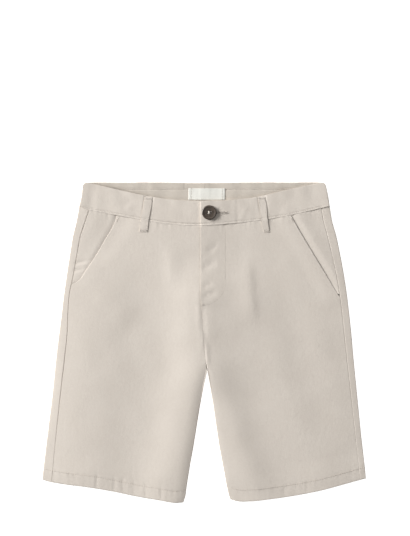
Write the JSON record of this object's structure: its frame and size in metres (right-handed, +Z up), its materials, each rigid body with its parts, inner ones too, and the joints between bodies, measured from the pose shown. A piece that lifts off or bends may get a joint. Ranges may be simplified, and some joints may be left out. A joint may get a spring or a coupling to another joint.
{
  "type": "bermuda shorts",
  "caption": "Beige cotton twill bermuda shorts laid flat, with waistband, belt loops, fly with button, slanted front pockets and turned-up hems.",
  "frame": {"origin": "on the table, below the middle of the laid garment's bounding box", "axes": "+Z up from the table through the back and then the front, +Y from the hems to the waist, +X towards the wearer's left leg"},
  "size_m": [0.3883, 0.3845, 0.0097],
  "materials": {
    "cotton_twill": "matt brushed cotton twill, light stone beige",
    "button_plastic": "dark brown horn-look plastic, half gloss",
    "label_tape": "woven off-white tape, bare"
  },
  "bodies": {
    "root": {"front_right": "cotton_twill", "front_left": "cotton_twill", "back_right": "cotton_twill", "back_left": "cotton_twill", "pocket_facing_right": "cotton_twill", "pocket_facing_left": "cotton_twill", "waistband_right": "cotton_twill", "waistband_left": "cotton_twill", "belt_loop_front_right": "cotton_twill", "belt_loop_front_left": "cotton_twill", "belt_loop_back_right": "cotton_twill", "belt_loop_back_centre": "cotton_twill", "belt_loop_back_left": "cotton_twill", "button": "button_plastic", "label": "label_tape"}
  },
  "joints": []
}
